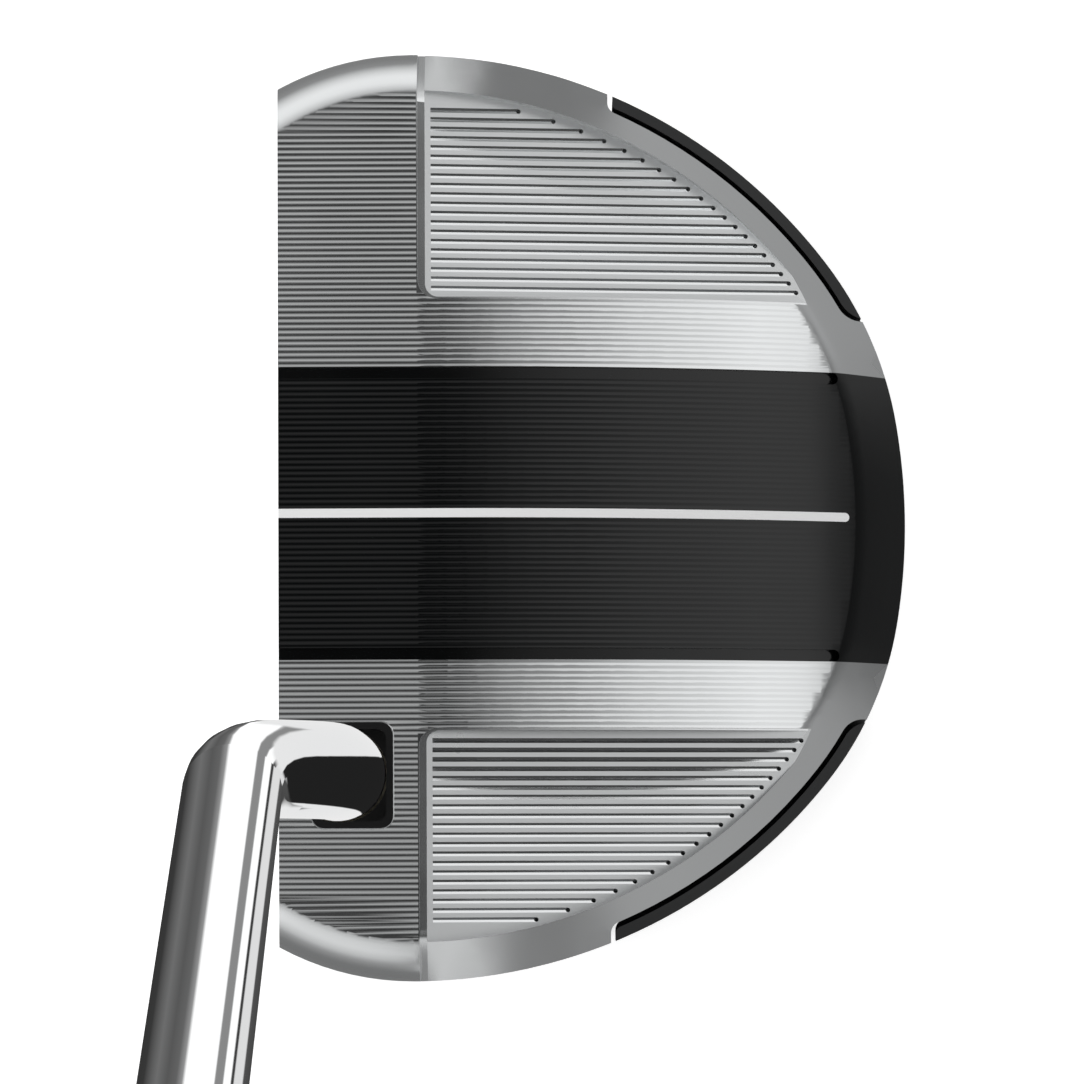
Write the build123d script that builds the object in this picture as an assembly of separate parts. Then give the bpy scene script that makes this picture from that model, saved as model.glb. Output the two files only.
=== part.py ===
"""Mallet putter: a milled head with a bonded centre band, a double-bend shaft and a rubber grip.

Frame, in millimetres: the sole rests on the ground plane Z = 0 and +Z is up with the club at
address. The face looks along -Y, the target direction. -X is the toe and +X is the heel. X = 0 is
the alignment line, and the origin is the middle of the flat of the sole.
"""

from build123d import *
from math import acos, asin, atan2, cos, degrees, radians, sin, sqrt, tan
import os

# Head, seen from above. Lengths called BACK are measured behind the top line of the face.
# The outline's middle lies a little heelward of the alignment line.
FACE_Y = -24.0
OUTLINE_X = 0.18
HALF_WIDTH = 46.2
DEPTH = 63.0
WIDEST_BACK = 13.2
FRONT_FLANK_R = 27.8
FLANK_R = 53.45
FLANK_SWEEP = 51.45
SHOULDER_R = 35.0
SOLE_EDGE_R = 2.5

# Head, seen from the side: a flat crown that rolls down to the rear in one large arc.
CROWN_Z = 25.0
CROWN_FLAT_BACK = 14.0
CROWN_R = 80.0
LOFT = 2.0
TOE_ROLL_R = 4.5

# The sloping ring that runs round the rim behind the face block.
SEAM_BACK = 13.85
REGION_FRONT_BACK = 2.0
RIM_REACH = 3.0
RING_WIDTH = 4.0
RING_BLEND = 1.6
RING_SLOPE = 1.0
RING_ENTRY_SLOPE = 0.05
RING_SECTIONS = 50
RING_LEAD = 2.0
SEAM_GROOVE_WIDTH = 0.75
SEAM_GROOVE_DEPTH = 0.4

# Wing pockets, one on each side of the bridge.
POCKET_RIM = 3.9
BRIDGE_HALF = 21.3
LEDGE_FRONT = 0.75
LEDGE_SIDE = 0.2
LEDGE_DROP = 0.5
LEDGE_CORNER_R = 1.9
POCKET_CORNER_R = 1.3
POCKET_DROP = 2.0
POCKET_SLOPE = 12.3

# Grooves in the pocket floors.
GROOVE_COUNT = 20
GROOVE_FIRST_X = 22.5
GROOVE_PITCH = 0.936
GROOVE_WIDTH = 0.48
GROOVE_DEPTH = 0.14
GROOVE_START_BACK = 15.15
GROOVE_END_RIM = 4.5
SINK_R = 0.22
SINK_DEPTH = 1.1

# Centre band, its relief slots and the alignment line.
BAND_HALF = 14.55
BAND_THICK = 2.0
BAND_LIP_BACK = 55.5
BAND_LIP_Z = 3.2
BOND_THICK = 0.2
RELIEF_WIDTH = 1.2
RELIEF_DEPTH = 1.0
RELIEF_END_BACK = 55.9
LINE_WIDTH = 0.9
LINE_DEPTH = 0.5
LINE_END_BACK = 57.0

# Edge strips in the notches of the rim.
NOTCH_DEPTH = 1.65
NOTCH_FRONT_BACK = 32.8
NOTCH_INNER_X = 20.2
NOTCH_FRONT_R = 1.2
NOTCH_REAR_R = 2.5
STRIP_THICK = 1.15
STRIP_FRONT_GAP = 0.5
STRIP_REAR_GAP = 0.3
STRIP_JOINT_DEPTH = 2.5
PEG_R = 1.2
PEG_LENGTH = 4.5
PEG_OVERLAP = 0.3
PEG_ANGLES = (28.0, 40.0, 52.0)
PEG_Z = 5.5

# Face insert.
INSERT_WIDTH = 38.0
INSERT_HEIGHT = 15.6
INSERT_THICK = 4.0
INSERT_CORNER_R = 3.0
INSERT_Z = 12.6
INSERT_GROOVES = 8
INSERT_GROOVE_PITCH = 1.7
INSERT_GROOVE_WIDTH = 0.8
INSERT_GROOVE_DEPTH = 0.25
TAPE_THICK = 0.5

# Shaft socket.
SHAFT_X = 25.8
SHAFT_BACK = 5.85
SOCKET_R = 4.8
SOCKET_FLOOR_Z = 5.0
COLLAR_FRONT_BACK = 3.2
COLLAR_REAR_BACK = 11.3
COLLAR_TOE_X = 20.7
COLLAR_HEEL_X = 31.2
COLLAR_CORNER_R = 1.3
COLLAR_WALL = 0.7
COLLAR_DEPTH = 6.0
COLLAR_EDGE = 0.12
COLLAR_SINK = 0.15

# Shaft.
TIP_R = 4.7
TIP_WALL = 0.6
BUTT_R = 7.35
FIRST_BEND_Z = 45.5
FIRST_BEND_R = 24.0
SECOND_BEND_BACK = -2.7
SECOND_BEND_Z = 58.9
SECOND_BEND_R = 20.0
BEND_TAIL = 40.0
LIE = 70.0
CLUB_LENGTH = 863.6
TIP_SECTION = 250.0
STEP_COUNT = 10
STEP_PITCH = 26.0
STEP_RAMP = 1.5
PLUG_LENGTH = 6.0

# Grip.
GRIP_LENGTH = 267.0
GRIP_TAPE_THICK = 0.3
GRIP_TAPE_MARGIN = 2.0
GRIP_CAP_THICK = 3.2
GRIP_VENT_R = 1.5
GRIP_THUMB_SHARE = 0.22
GRIP_PALM_SHARE = 0.44
GRIP_CAP_ROUND_SHARE = 0.6
GRIP_SECTIONS = (
    # distance below the butt as a share of the length, width, depth
    (0.0, 27.0, 29.0),
    (0.18, 26.0, 27.0),
    (0.5, 23.5, 23.5),
    (0.8, 21.0, 21.0),
    (1.0, 19.0, 19.0),
)

# Sole plate, its screws and the parts behind it.
PLATE_FRONT_BACK = 16.0
PLATE_REAR_BACK = 54.0
PLATE_FRONT_HALF = 19.0
PLATE_REAR_HALF = 15.0
PLATE_CORNER_R = 4.0
PLATE_THICK = 2.0
CAVITY_HALF = 11.0
CAVITY_FRONT_BACK = 23.0
CAVITY_REAR_BACK = 47.0
CAVITY_TOP_Z = 9.5
DAMPER_SHARE = 0.7
SCREW_R = 1.5
SCREW_HEAD_R = 2.8
SCREW_LENGTH = 8.0
SCREW_SOCKET_R = 1.15
SCREW_SOCKET_DEPTH = 1.2
# Distance from the middle and distance behind the face of each pair of screws.
SCREW_PLACES = ((14.6, 20.4), (11.4, 49.6))

# Sole weights.
WEIGHT_X = 31.0
WEIGHT_BACK = 24.0
WEIGHT_HEAD_R = 7.5
WEIGHT_HEAD_THICK = 3.5
WEIGHT_SHANK_R = 5.0
WEIGHT_LENGTH = 10.0
WEIGHT_SOCKET_R = 2.9
WEIGHT_SOCKET_DEPTH = 3.0
WEIGHT_SINK = 0.2
WEIGHT_CHAMFER = 0.5
WEIGHT_CLEARANCE = 0.15
SEAL_THICK = 0.6
SEAL_MARGIN = 0.4

# Plain blocks and windows that cut across the whole head, and how far they reach past it.
TALL = 40.0
WIDE = 60.0
SPARE = 8.0
FRONT_STOCK = 6.0
CUT_ABOVE = 1.0
# How close an edge's middle lies to the place where it is looked for.
FIND_REACH = 0.3
HAIR = 1e-6

TOE, HEEL = -1, 1
SIDES = (TOE, HEEL)


def back(distance):
    """Y of a place that lies this far behind the top line of the face."""
    return FACE_Y + distance


def heading(angle):
    """Unit vector in the ground plane, at this many degrees from +X towards +Y."""
    return Vector(cos(radians(angle)), sin(radians(angle)))


# The heel side of the plan outline is four tangent arcs: front flank, flank, shoulder and rear.
FRONT_FLANK_CENTRE = Vector(HALF_WIDTH - FRONT_FLANK_R, back(WIDEST_BACK))
FLANK_CENTRE = Vector(HALF_WIDTH - FLANK_R, back(WIDEST_BACK))
SHOULDER_CENTRE = FLANK_CENTRE + heading(FLANK_SWEEP) * (FLANK_R - SHOULDER_R)
REAR_RUN = back(DEPTH) - SHOULDER_CENTRE.Y
REAR_R = (SHOULDER_CENTRE.X**2 + REAR_RUN**2 - SHOULDER_R**2) / (2 * (REAR_RUN - SHOULDER_R))
REAR_CENTRE = Vector(0, back(DEPTH) - REAR_R)
SHOULDER_END = degrees(
    atan2(SHOULDER_CENTRE.Y - REAR_CENTRE.Y, SHOULDER_CENTRE.X - REAR_CENTRE.X)
)


def outline_arc(angle):
    """Centre and radius of the heel side's arc at this heading, from 0 at the flank to 90 at the rear."""
    if angle < FLANK_SWEEP:
        return FLANK_CENTRE, FLANK_R
    if angle < SHOULDER_END:
        return SHOULDER_CENTRE, SHOULDER_R
    return REAR_CENTRE, REAR_R


def outline_point(angle, inset, side):
    """Point this far inside the outline, where the outline faces this heading. The toe side is
    worked out as its mirror image, like all that is called with a side, and placed turns it over."""
    centre, radius = outline_arc(angle)
    return centre + heading(angle) * (radius - inset) + Vector(side * OUTLINE_X, 0)


def placed(shape, side):
    """The shape on its own side of the head."""
    return shape if side == HEEL else shape.mirror(Plane.YZ)


def outline_y(x, inset, side):
    """Y of the rear half of the outline, moved inwards by inset, at this distance from X = 0."""
    for start, end in ((0, FLANK_SWEEP), (FLANK_SWEEP, SHOULDER_END), (SHOULDER_END, 90)):
        centre, radius = outline_arc((start + end) / 2)
        first = outline_point(start + HAIR, inset, side)
        last = outline_point(end - HAIR, inset, side)
        if first.X >= x >= last.X:
            run = x - centre.X - side * OUTLINE_X
            return centre.Y + sqrt((radius - inset) ** 2 - run**2)
    return centre.Y + radius - inset


def outline_curve(inset, front_y):
    """The curved part of the plan outline, moved inwards by inset, from one end of the straight
    front at front_y round the rear to the other. Its middle is at X = 0."""
    front_r = FRONT_FLANK_R - inset
    front_angle = degrees(asin((front_y - FRONT_FLANK_CENTRE.Y) / front_r))
    heel = [
        CenterArc(FRONT_FLANK_CENTRE, front_r, front_angle, -front_angle),
        CenterArc(FLANK_CENTRE, FLANK_R - inset, 0, FLANK_SWEEP),
        CenterArc(SHOULDER_CENTRE, SHOULDER_R - inset, FLANK_SWEEP, SHOULDER_END - FLANK_SWEEP),
        CenterArc(REAR_CENTRE, REAR_R - inset, SHOULDER_END, 90 - SHOULDER_END),
    ]
    return Wire(heel + [edge.mirror(Plane.YZ) for edge in heel])


def outline_face(inset, front_y, side=HEEL):
    """The D-shaped plan outline, moved inwards by inset and cut straight at front_y."""
    curve = outline_curve(inset, front_y)
    front = Line(curve @ 0, curve @ 1)
    return Pos(side * OUTLINE_X, 0) * Face(Wire(curve.edges() + [front]))


def crown_height(y):
    """Height of the crown on the bridge at this Y."""
    run = max(0.0, y - back(CROWN_FLAT_BACK))
    return CROWN_Z - CROWN_R + sqrt(CROWN_R**2 - run**2)


def under_crown(drop):
    """Everything below the crown, lowered by drop, from well in front to well behind the head."""
    flat_y = back(CROWN_FLAT_BACK)
    front_y, end_y = FACE_Y - 2 * SPARE, back(DEPTH) + SPARE
    end_angle = degrees(acos((end_y - flat_y) / CROWN_R))
    top = CROWN_Z - drop
    arc = CenterArc((flat_y, top - CROWN_R), CROWN_R, 90, end_angle - 90)
    front = Polyline(arc @ 0, (front_y, top), (front_y, -SPARE), (end_y, -SPARE), arc @ 1)
    profile = Plane.YZ * Face(Wire([arc] + front.edges()))
    return extrude(profile, TALL * 2, both=True)


def ring_drop(inset):
    """How far the rim's ring lies under the crown at this distance inside the outline."""
    inner = RING_WIDTH + RING_BLEND
    if inset >= inner:
        return (inner - inset) * RING_ENTRY_SLOPE
    bend = (RING_SLOPE - RING_ENTRY_SLOPE) / RING_BLEND
    blend = min(inner - inset, RING_BLEND)
    straight = max(0.0, RING_WIDTH - inset)
    return RING_ENTRY_SLOPE * blend + bend * blend**2 / 2 + RING_SLOPE * straight


def ring_section(foot, inwards):
    """Upright slice of what lies above the ring, from a foot on the outline inwards."""

    def surface_point(inset):
        place = foot + inwards * inset
        return Vector(place.X, place.Y, crown_height(place.Y) - ring_drop(inset))

    stops = (POCKET_RIM * 2, RING_WIDTH + RING_BLEND, RING_WIDTH, -SOLE_EDGE_R)
    edges = []
    for start, end in zip(stops, stops[1:]):
        first, last = surface_point(start), surface_point(end)
        pull = surface_point((start + end) / 2) * 2 - (first + last) / 2
        edges.append(Bezier(first, pull, last))
    inner, outer = edges[0] @ 0, edges[-1] @ 1
    lid = Polyline(outer, (outer.X, outer.Y, TALL), (inner.X, inner.Y, TALL), inner)
    return Face(Wire(edges + lid.edges()))


def ring_cutter():
    """Everything above the sloping ring, from the toe flank round the rear to the heel flank."""
    curve = Pos(OUTLINE_X, 0) * outline_curve(0, back(WIDEST_BACK - RING_LEAD))
    centre = Vector(0, back(DEPTH / 2))
    sections = []
    for i in range(RING_SECTIONS + 1):
        foot = curve @ (i / RING_SECTIONS)
        along = curve % (i / RING_SECTIONS)
        inwards = Vector(-along.Y, along.X)
        if inwards.dot(centre - foot) < 0:
            inwards = -inwards
        sections.append(ring_section(foot, inwards))
    return loft(sections)


def block(x0, x1, y0, y1, z0, z1):
    """A box between two corners."""
    return Pos((x0 + x1) / 2, (y0 + y1) / 2, (z0 + z1) / 2) * Box(x1 - x0, y1 - y0, z1 - z0)


def billet():
    """The head's outline standing on the sole, with the sole's edge rounded."""
    solid = extrude(outline_face(0, FACE_Y - FRONT_STOCK), CROWN_Z)
    rim = solid.edges().group_by(Axis.Z)[0].sort_by(Axis.Y)[1:]
    return fillet(rim, SOLE_EDGE_R)


def in_front_of_face():
    """Everything in front of the lofted face plane."""
    cutter = block(-WIDE, WIDE, -TALL, 0, -TALL, TALL)
    return Pos(0, FACE_Y, CROWN_Z) * Rot(-LOFT, 0, 0) * cutter


def face_block():
    """The flat-topped front of the head, rolled down at its toe and heel ends."""
    slab = billet() & block(-WIDE, WIDE, FACE_Y - SPARE, back(SEAM_BACK), -CUT_ABOVE, TALL)
    top = [
        e
        for e in slab.edges().group_by(Axis.Z)[-1]
        if abs(e.center().X) > HALF_WIDTH / 2
    ]
    return fillet(top, TOE_ROLL_R) - in_front_of_face()


def rear_block(above_ring):
    """The rear of the head: the rolled crown with its sloping ring."""
    solid = billet() & under_crown(0)
    behind = block(-WIDE, WIDE, back(SEAM_BACK), back(DEPTH) + SPARE / 2, -CUT_ABOVE, TALL)
    return (solid & behind) - above_ring


def seam_groove(side, above_ring):
    """The groove across the ring, right behind the face block."""
    y = back(SEAM_BACK)
    channel = block(BRIDGE_HALF, WIDE, y, y + SEAM_GROOVE_WIDTH, 0, TALL)
    return placed(channel, side) & Pos(0, 0, -SEAM_GROOVE_DEPTH) * above_ring


def head_blank(above_ring):
    """The head's outer form before anything is cut into it."""
    blank = face_block() + rear_block(above_ring)
    for side in SIDES:
        blank -= seam_groove(side, above_ring)
    return blank


def wing_region(side, front_margin, side_margin, corner_r):
    """Plan of a wing inside the ring, set back by its margins from the seam and the bridge."""
    inner_x = BRIDGE_HALF + side_margin
    front_y = back(SEAM_BACK + front_margin)
    window = Pos(inner_x + WIDE / 2, front_y + TALL) * Rectangle(WIDE, 2 * TALL)
    region = outline_face(POCKET_RIM, back(REGION_FRONT_BACK), side) & window
    corner = region.vertices().sort_by_distance((inner_x, front_y))[0]
    return fillet(corner, corner_r)


def pocket_plane():
    """A pocket's floor, with its own X across the head and its own Y down the slope."""
    slope = radians(POCKET_SLOPE)
    return Plane(
        origin=(0, back(SEAM_BACK), CROWN_Z - POCKET_DROP),
        x_dir=(1, 0, 0),
        z_dir=(0, sin(slope), cos(slope)),
    )


def pocket_cutter(side):
    """What is milled out of a wing: a narrow ledge and the sloping pocket inside it."""
    ledge = extrude(wing_region(side, 0, 0, LEDGE_CORNER_R), TALL) - under_crown(LEDGE_DROP)
    pocket = extrude(wing_region(side, LEDGE_FRONT, LEDGE_SIDE, POCKET_CORNER_R), TALL)
    below_floor = pocket_plane() * Pos(0, 0, -TALL / 2) * Box(4 * WIDE, 4 * WIDE, TALL)
    return placed(ledge + pocket - below_floor, side)


def vee_groove(x, start, end):
    """A V-shaped groove along the floor's own Y, with a round sink at its rear end."""
    half = GROOVE_WIDTH / 2
    top = -CUT_ABOVE
    section = Polyline(
        (-half, top), (half, top), (half, 0), (0, GROOVE_DEPTH), (-half, 0), close=True
    )
    across = Plane(origin=(x, start, 0), x_dir=(1, 0, 0), z_dir=(0, 1, 0))
    groove = extrude(across * make_face(section.edges()), end - start - SINK_R)
    return groove + Pos(x, end - SINK_R, 0) * Cylinder(SINK_R, 2 * SINK_DEPTH)


def pocket_grooves(side):
    """A pocket's grooves, which end along a line that follows the rim."""
    stretch = 1 / cos(radians(POCKET_SLOPE))
    start = (GROOVE_START_BACK - SEAM_BACK) * stretch
    grooves = []
    for i in range(GROOVE_COUNT):
        x = GROOVE_FIRST_X + i * GROOVE_PITCH
        end = (outline_y(x, GROOVE_END_RIM, side) - back(SEAM_BACK)) * stretch
        grooves.append(placed(pocket_plane() * vee_groove(x, start, end), side))
    return grooves


def band_bottom(lift):
    """Everything below the band's seat, raised by lift: a lowered crown with a step at the rear lip."""
    seat = under_crown(BAND_THICK - lift)
    lip_y = back(BAND_LIP_BACK) + lift
    return seat - block(-WIDE, WIDE, lip_y, back(DEPTH) + 2 * SPARE, BAND_LIP_Z + lift, TALL)


def band_region():
    """Everything between the two straight edges of the centre band."""
    return block(-BAND_HALF, BAND_HALF, FACE_Y - SPARE, back(DEPTH) + SPARE / 2, 0, TALL)


def line_groove():
    """The groove that holds the alignment line, with a round rear end."""
    end_y = back(LINE_END_BACK) - LINE_WIDTH / 2
    groove = block(-LINE_WIDTH / 2, LINE_WIDTH / 2, FACE_Y - SPARE, end_y, 0, TALL)
    groove += Pos(0, end_y, TALL / 2) * Cylinder(LINE_WIDTH / 2, TALL)
    return groove - under_crown(LINE_DEPTH)


def relief_slots():
    """The two slots just inside the band's edges, each with a round rear end."""
    slots = []
    for side in SIDES:
        middle = side * (BAND_HALF - RELIEF_WIDTH / 2)
        end_y = back(RELIEF_END_BACK) - RELIEF_WIDTH / 2
        start_x, end_x = middle - RELIEF_WIDTH / 2, middle + RELIEF_WIDTH / 2
        slot = block(start_x, end_x, FACE_Y - SPARE, end_y, 0, TALL)
        slot += Pos(middle, end_y, TALL / 2) * Cylinder(RELIEF_WIDTH / 2, TALL)
        slots.append(slot - under_crown(RELIEF_DEPTH))
    return slots


def make_centre_band(blank):
    """The band itself: it lies on its bond and carries the slots and the line's groove."""
    band = (blank & band_region()) - band_bottom(BOND_THICK)
    for slot in relief_slots():
        band -= slot
    return band - line_groove()


def make_band_bond(blank):
    """The thin bond between the band and the body."""
    return (blank & band_region() & band_bottom(BOND_THICK)) - band_bottom(0)


def make_alignment_line(blank):
    """The white line, flush with the band's crown."""
    return blank & line_groove()


def rim_region(side, inner, front_back, inner_x, front_r, rear_r):
    """Plan of a notch in the rim: the outline's edge between two straight ends."""
    window = Pos(inner_x + WIDE / 2, back(front_back) + WIDE / 2) * Rectangle(WIDE, WIDE)
    front_y = back(REGION_FRONT_BACK)
    beyond, within = outline_face(-RIM_REACH, front_y, side), outline_face(inner, front_y, side)
    region = (beyond - within) & window
    front = region.vertices().group_by(Axis.Y)[0].sort_by(Axis.X)[0]
    region = fillet(front, front_r)
    rear = region.vertices().group_by(Axis.X)[0].sort_by(Axis.Y)[0]
    return fillet(rear, rear_r)


def notch_cutter(side):
    """What is milled out of the rim for an edge strip."""
    region = rim_region(
        side, NOTCH_DEPTH, NOTCH_FRONT_BACK, NOTCH_INNER_X, NOTCH_FRONT_R, NOTCH_REAR_R
    )
    return placed(Pos(0, 0, -CUT_ABOVE) * extrude(region, TALL), side)


def strip_pegs(side, first_inset):
    """Round pegs that point from a strip into the body, starting this far inside the outline."""
    pegs = []
    for angle in PEG_ANGLES:
        point = outline_point(angle, first_inset, side)
        plane = Plane(origin=(point.X, point.Y, PEG_Z), z_dir=heading(angle) * -1)
        peg = extrude(Circle(PEG_R), PEG_LENGTH + STRIP_THICK - first_inset)
        pegs.append(placed(plane * peg, side))
    return pegs


def make_edge_strip(blank, above_ring, side):
    """An edge strip with its pegs. It fills the notch, apart from an open joint line on top and a
    gap at its front end."""
    front = NOTCH_FRONT_BACK + STRIP_FRONT_GAP
    outer = rim_region(
        side,
        STRIP_THICK,
        front,
        NOTCH_INNER_X + STRIP_REAR_GAP,
        NOTCH_FRONT_R / 2,
        NOTCH_REAR_R + NOTCH_DEPTH - STRIP_THICK,
    )
    inner = rim_region(side, NOTCH_DEPTH, front, NOTCH_INNER_X, NOTCH_FRONT_R, NOTCH_REAR_R)
    backing = placed(Pos(0, 0, -CUT_ABOVE) * extrude(inner, TALL), side)
    backing -= Pos(0, 0, -STRIP_JOINT_DEPTH) * above_ring
    skin = placed(Pos(0, 0, -CUT_ABOVE) * extrude(outer, TALL), side)
    strip = blank & (skin + backing)
    for peg in strip_pegs(side, STRIP_THICK - PEG_OVERLAP):
        strip += peg
    return strip


def face_plane():
    """The face at the middle of the insert, looking out of it, with its own Y up the face."""
    y = FACE_Y - (CROWN_Z - INSERT_Z) * tan(radians(LOFT))
    return Plane(
        origin=(0, y, INSERT_Z), x_dir=(1, 0, 0), z_dir=(0, -cos(radians(LOFT)), sin(radians(LOFT)))
    )


def insert_pad(thick, drop):
    """A rounded rectangle of the insert's outline whose front lies this far behind the face."""
    outline = RectangleRounded(INSERT_WIDTH, INSERT_HEIGHT, INSERT_CORNER_R)
    return face_plane() * Pos(0, 0, -drop - thick) * extrude(outline, thick)


def make_face_insert():
    """The milled insert with its grooves across the face."""
    insert = insert_pad(INSERT_THICK, 0)
    for i in range(INSERT_GROOVES):
        height = (i - (INSERT_GROOVES - 1) / 2) * INSERT_GROOVE_PITCH
        groove = Box(INSERT_WIDTH + CUT_ABOVE, INSERT_GROOVE_WIDTH, INSERT_GROOVE_DEPTH * 2)
        insert -= face_plane() * Pos(0, height, 0) * groove
    return insert


def make_face_tape():
    """The tape behind the insert."""
    return insert_pad(TAPE_THICK, INSERT_THICK)


def upright(radius, x, y, z0, z1):
    """An upright cylinder between two heights."""
    return Pos(x, y, (z0 + z1) / 2) * Cylinder(radius, z1 - z0)


def socket_bore():
    """The round socket that the shaft's tip stands in."""
    return upright(SOCKET_R, SHAFT_X, back(SHAFT_BACK), SOCKET_FLOOR_Z, TALL)


def collar_plan(wall):
    """The collar's rounded rectangle, moved inwards by wall."""
    width = COLLAR_HEEL_X - COLLAR_TOE_X - 2 * wall
    depth = COLLAR_REAR_BACK - COLLAR_FRONT_BACK - 2 * wall
    middle_x = (COLLAR_HEEL_X + COLLAR_TOE_X) / 2
    middle_y = back((COLLAR_FRONT_BACK + COLLAR_REAR_BACK) / 2)
    return Pos(middle_x, middle_y) * RectangleRounded(width, depth, COLLAR_CORNER_R - wall / 2)


def collar_seat():
    """The pocket for the collar, with its top edge broken."""
    seat = Pos(0, 0, CROWN_Z - COLLAR_DEPTH) * extrude(collar_plan(0), TALL)
    edge = extrude(collar_plan(0), 2 * COLLAR_EDGE, taper=-45)
    return seat + Pos(0, 0, CROWN_Z - COLLAR_EDGE) * edge


def make_shaft_collar():
    """The black liner of the pocket that the shaft stands in."""
    shell = Pos(0, 0, CROWN_Z - COLLAR_DEPTH) * extrude(
        collar_plan(0), COLLAR_DEPTH - COLLAR_SINK
    )
    floor_z = CROWN_Z - COLLAR_DEPTH + COLLAR_WALL
    hollow = Pos(0, 0, floor_z) * extrude(collar_plan(COLLAR_WALL), TALL)
    return shell - hollow - socket_bore()


def make_shaft_bond():
    """The epoxy between the shaft's tip and its socket."""
    top = CROWN_Z - COLLAR_DEPTH
    sleeve = upright(SOCKET_R, SHAFT_X, back(SHAFT_BACK), SOCKET_FLOOR_Z, top)
    return sleeve - upright(TIP_R, SHAFT_X, back(SHAFT_BACK), SOCKET_FLOOR_Z, top)


SHAFT_TOWARDS_BUTT = Vector(cos(radians(LIE)), 0, sin(radians(LIE)))
SECOND_BEND = Vector(SHAFT_X, back(SECOND_BEND_BACK), SECOND_BEND_Z)
GROUND_POINT = SECOND_BEND - SHAFT_TOWARDS_BUTT * (SECOND_BEND_Z / sin(radians(LIE)))
BUTT_POINT = GROUND_POINT + SHAFT_TOWARDS_BUTT * CLUB_LENGTH


def along_shaft(below_butt):
    """Plane across the shaft, this far below the butt, looking up the shaft, with its own X
    along the target line and its own Y towards the flat, thumb side of the grip."""
    origin = BUTT_POINT - SHAFT_TOWARDS_BUTT * below_butt
    return Plane(origin=origin, x_dir=(0, -1, 0), z_dir=SHAFT_TOWARDS_BUTT)


def shaft_path():
    """Centre line of the bent tip: up out of the socket, forward over the face, then up the shaft."""
    bottom = Vector(SHAFT_X, back(SHAFT_BACK), SOCKET_FLOOR_Z)
    first = Vector(SHAFT_X, back(SHAFT_BACK), FIRST_BEND_Z)
    end = SECOND_BEND + SHAFT_TOWARDS_BUTT * BEND_TAIL
    return FilletPolyline(bottom, first, SECOND_BEND, end, radius=(FIRST_BEND_R, SECOND_BEND_R))


def swept_tip(radius):
    """The bent tip of the shaft as a solid rod of this radius."""
    path = shaft_path()
    return sweep(Plane(origin=path @ 0, z_dir=path % 0) * Circle(radius), path=path)


def stepped_part(shrink):
    """The straight shaft above the bends as one turned solid, growing in short ramps to the butt."""
    start = CLUB_LENGTH - SECOND_BEND_Z / sin(radians(LIE)) - BEND_TAIL
    end = GRIP_CAP_THICK
    radius = TIP_R - shrink
    growth = (BUTT_R - TIP_R) / STEP_COUNT
    points = [(0, 0), (radius, 0)]
    for i in range(STEP_COUNT):
        height = TIP_SECTION - BEND_TAIL + i * STEP_PITCH
        points.append((radius, height))
        radius += growth
        points.append((radius, height + STEP_RAMP))
    points += [(radius, start - end), (0, start - end)]
    profile = Plane.XZ * Face(Wire(Polyline(*points, close=True).edges()))
    return along_shaft(start) * revolve(profile, Axis.Z)


def make_shaft():
    """The bent and stepped tube."""
    outer = swept_tip(TIP_R) + stepped_part(0)
    return outer - (swept_tip(TIP_R - TIP_WALL) + stepped_part(TIP_WALL))


def make_tip_plug():
    """The plug inside the tube's tip."""
    top = SOCKET_FLOOR_Z + PLUG_LENGTH
    return upright(TIP_R - TIP_WALL, SHAFT_X, back(SHAFT_BACK), SOCKET_FLOOR_Z, top)


def shaft_sleeve(inner, outer, top, bottom):
    """A tube on the shaft's axis between two distances below the butt."""
    ring = Circle(outer) - Circle(inner) if inner else Circle(outer)
    return along_shaft(bottom) * extrude(ring, bottom - top)


def make_grip_tape():
    """The tape under the grip, which ends a little inside the grip's mouth."""
    end = GRIP_LENGTH - GRIP_TAPE_MARGIN
    return shaft_sleeve(BUTT_R, BUTT_R + GRIP_TAPE_THICK, GRIP_CAP_THICK, end)


def grip_outline(width, depth):
    """Section of the grip: flat on the thumb side, rounded on the palm side."""
    outline = Rectangle(width, depth)
    flat = [v for v in outline.vertices() if v.Y > 0]
    outline = fillet(flat, width * GRIP_THUMB_SHARE)
    palm = [v for v in outline.vertices() if v.Y < 0]
    palm = sorted(palm, key=lambda v: v.Y)[:2]
    return fillet(palm, width * GRIP_PALM_SHARE)


def make_grip():
    """The grip, lofted down the shaft from its cap to its mouth, with its bore."""
    sections = []
    for share, width, depth in GRIP_SECTIONS:
        below_butt = GRIP_CAP_THICK + share * (GRIP_LENGTH - GRIP_CAP_THICK)
        sections.append(along_shaft(below_butt) * grip_outline(width, depth))
    top, bottom = GRIP_CAP_THICK - CUT_ABOVE, GRIP_LENGTH + CUT_ABOVE
    return loft(sections) - shaft_sleeve(0, BUTT_R + GRIP_TAPE_THICK, top, bottom)


def make_grip_cap():
    """The domed end of the grip with its vent hole."""
    share, width, depth = GRIP_SECTIONS[0]
    cap = along_shaft(GRIP_CAP_THICK) * extrude(grip_outline(width, depth), GRIP_CAP_THICK)
    edge = cap.edges().filter_by(
        lambda e: (e.center() - BUTT_POINT).dot(SHAFT_TOWARDS_BUTT) > -FIND_REACH
    )
    cap = fillet(edge, GRIP_CAP_THICK * GRIP_CAP_ROUND_SHARE)
    return cap - shaft_sleeve(0, GRIP_VENT_R, -CUT_ABOVE, GRIP_CAP_THICK + CUT_ABOVE)


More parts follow.
